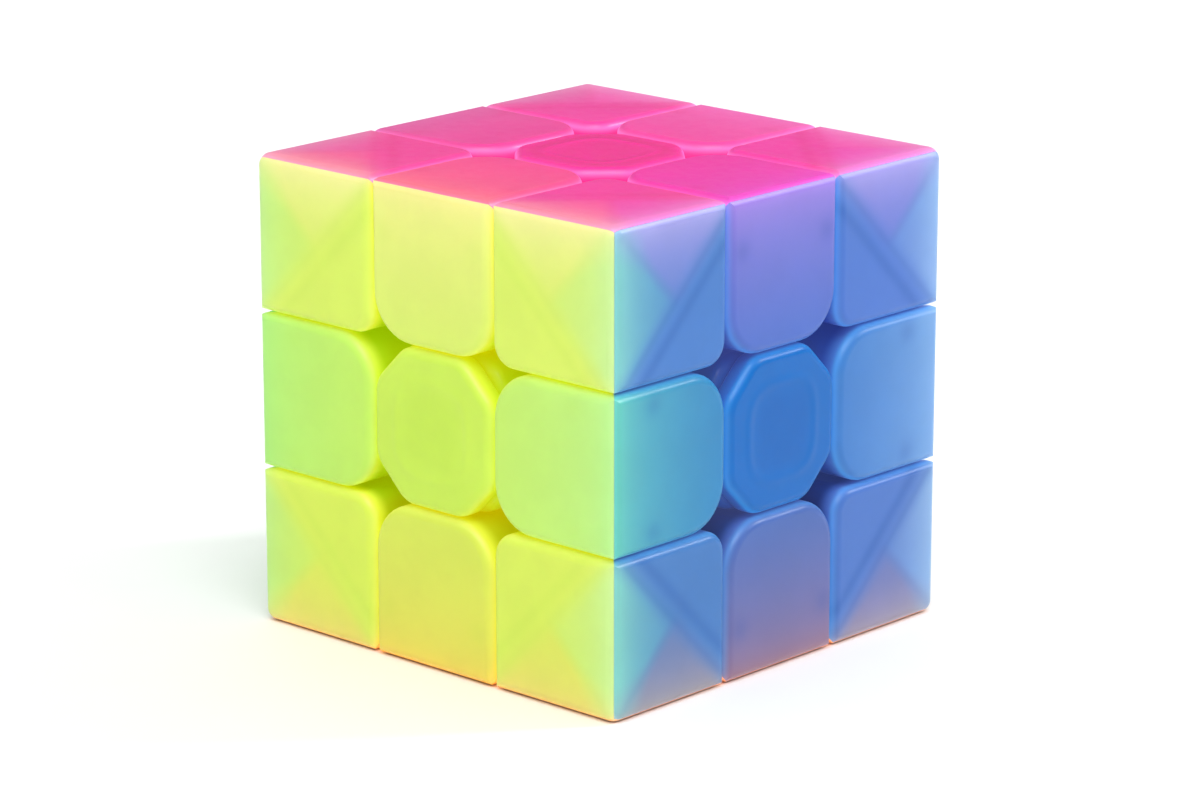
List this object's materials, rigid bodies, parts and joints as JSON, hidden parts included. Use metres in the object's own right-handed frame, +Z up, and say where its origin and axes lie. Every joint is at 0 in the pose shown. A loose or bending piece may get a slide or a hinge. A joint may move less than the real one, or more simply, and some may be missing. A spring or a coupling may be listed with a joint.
{
  "type": "twisty puzzle cube",
  "caption": "Twisty puzzle cube of frosted tinted shells over a sprung six-armed core, with layers that turn",
  "frame": {"origin": "middle of the bottom face, on the surface that the cube stands on; the core's middle is 28 mm above it", "axes": "+Z up out of the pink face, -Y out of the yellow front face, +X out of the blue right face"},
  "size_m": [0.056, 0.056, 0.056],
  "materials": {
    "pink_shell": "frosted translucent pink",
    "orange_shell": "frosted translucent orange",
    "yellow_shell": "frosted translucent yellow-green",
    "white_shell": "frosted translucent milky white",
    "blue_shell": "frosted translucent blue",
    "green_shell": "frosted translucent green",
    "core_plastic": "satin white",
    "steel": "zinc-plated steel"
  },
  "bodies": {
    "middle_layer": {"core": "core_plastic", "screw_top": "steel", "spring_top": "steel", "screw_bottom": "steel", "spring_bottom": "steel", "screw_front": "steel", "spring_front": "steel", "screw_back": "steel", "spring_back": "steel", "screw_right": "steel", "spring_right": "steel", "screw_left": "steel", "spring_left": "steel", "edge_front_right_front_shell": "yellow_shell", "edge_front_right_right_shell": "blue_shell", "edge_back_right_back_shell": "white_shell", "edge_back_right_right_shell": "blue_shell", "edge_back_left_back_shell": "white_shell", "edge_back_left_left_shell": "green_shell", "edge_front_left_front_shell": "yellow_shell", "edge_front_left_left_shell": "green_shell"},
    "top_layer": {"corner_top_front_right": "pink_shell", "corner_top_back_right": "pink_shell", "corner_top_back_left": "pink_shell", "corner_top_front_left": "pink_shell", "edge_top_front_top_shell": "pink_shell", "edge_top_front_front_shell": "yellow_shell", "edge_top_right_top_shell": "pink_shell", "edge_top_right_right_shell": "blue_shell", "edge_top_back_top_shell": "pink_shell", "edge_top_back_back_shell": "white_shell", "edge_top_left_top_shell": "pink_shell", "edge_top_left_left_shell": "green_shell"},
    "bottom_layer": {"corner_bottom_front_right": "orange_shell", "corner_bottom_back_right": "orange_shell", "corner_bottom_back_left": "orange_shell", "corner_bottom_front_left": "orange_shell", "edge_bottom_front_bottom_shell": "orange_shell", "edge_bottom_front_front_shell": "yellow_shell", "edge_bottom_right_bottom_shell": "orange_shell", "edge_bottom_right_right_shell": "blue_shell", "edge_bottom_back_bottom_shell": "orange_shell", "edge_bottom_back_back_shell": "white_shell", "edge_bottom_left_bottom_shell": "orange_shell", "edge_bottom_left_left_shell": "green_shell"},
    "centre_top": {"centre_top_body": "pink_shell"},
    "cap_top": {"centre_top_cap": "pink_shell"},
    "centre_bottom": {"centre_bottom_body": "orange_shell"},
    "cap_bottom": {"centre_bottom_cap": "orange_shell"},
    "centre_front": {"centre_front_body": "yellow_shell"},
    "cap_front": {"centre_front_cap": "yellow_shell"},
    "centre_back": {"centre_back_body": "white_shell"},
    "cap_back": {"centre_back_cap": "white_shell"},
    "centre_right": {"centre_right_body": "blue_shell"},
    "cap_right": {"centre_right_cap": "blue_shell"},
    "centre_left": {"centre_left_body": "green_shell"},
    "cap_left": {"centre_left_cap": "green_shell"}
  },
  "joints": [
    {"name": "top_layer_turn", "type": "hinge", "parent": "middle_layer", "child": "top_layer", "pos_m": [0, 0, 0.028], "axis": [0, 0, 1], "continuous": true},
    {"name": "bottom_layer_turn", "type": "hinge", "parent": "middle_layer", "child": "bottom_layer", "pos_m": [0, 0, 0.028], "axis": [0, 0, 1], "continuous": true},
    {"name": "centre_top_give", "type": "slide", "parent": "top_layer", "child": "centre_top", "axis": [0, 0, 1], "range_m": [0, 0.001], "stiffness_N_per_m": 600, "springref_m": -0.0015, "deforming": ["spring_top"]},
    {"name": "cap_top_release", "type": "slide", "parent": "centre_top", "child": "cap_top", "axis": [0, 0, 1], "range_m": [0, 0.006]},
    {"name": "centre_bottom_give", "type": "slide", "parent": "bottom_layer", "child": "centre_bottom", "axis": [0, 0, -1], "range_m": [0, 0.001], "stiffness_N_per_m": 600, "springref_m": -0.0015, "deforming": ["spring_bottom"]},
    {"name": "cap_bottom_release", "type": "slide", "parent": "centre_bottom", "child": "cap_bottom", "axis": [0, 0, -1], "range_m": [0, 0.006]},
    {"name": "centre_front_give", "type": "slide", "parent": "middle_layer", "child": "centre_front", "axis": [0, -1, 0], "range_m": [0, 0.001], "stiffness_N_per_m": 600, "springref_m": -0.0015, "deforming": ["spring_front"]},
    {"name": "cap_front_release", "type": "slide", "parent": "centre_front", "child": "cap_front", "axis": [0, -1, 0], "range_m": [0, 0.006]},
    {"name": "centre_back_give", "type": "slide", "parent": "middle_layer", "child": "centre_back", "axis": [0, 1, 0], "range_m": [0, 0.001], "stiffness_N_per_m": 600, "springref_m": -0.0015, "deforming": ["spring_back"]},
    {"name": "cap_back_release", "type": "slide", "parent": "centre_back", "child": "cap_back", "axis": [0, 1, 0], "range_m": [0, 0.006]},
    {"name": "centre_right_give", "type": "slide", "parent": "middle_layer", "child": "centre_right", "axis": [1, 0, 0], "range_m": [0, 0.001], "stiffness_N_per_m": 600, "springref_m": -0.0015, "deforming": ["spring_right"]},
    {"name": "cap_right_release", "type": "slide", "parent": "centre_right", "child": "cap_right", "axis": [1, 0, 0], "range_m": [0, 0.006]},
    {"name": "centre_left_give", "type": "slide", "parent": "middle_layer", "child": "centre_left", "axis": [-1, 0, 0], "range_m": [0, 0.001], "stiffness_N_per_m": 600, "springref_m": -0.0015, "deforming": ["spring_left"]},
    {"name": "cap_left_release", "type": "slide", "parent": "centre_left", "child": "cap_left", "axis": [-1, 0, 0], "range_m": [0, 0.006]}
  ]
}
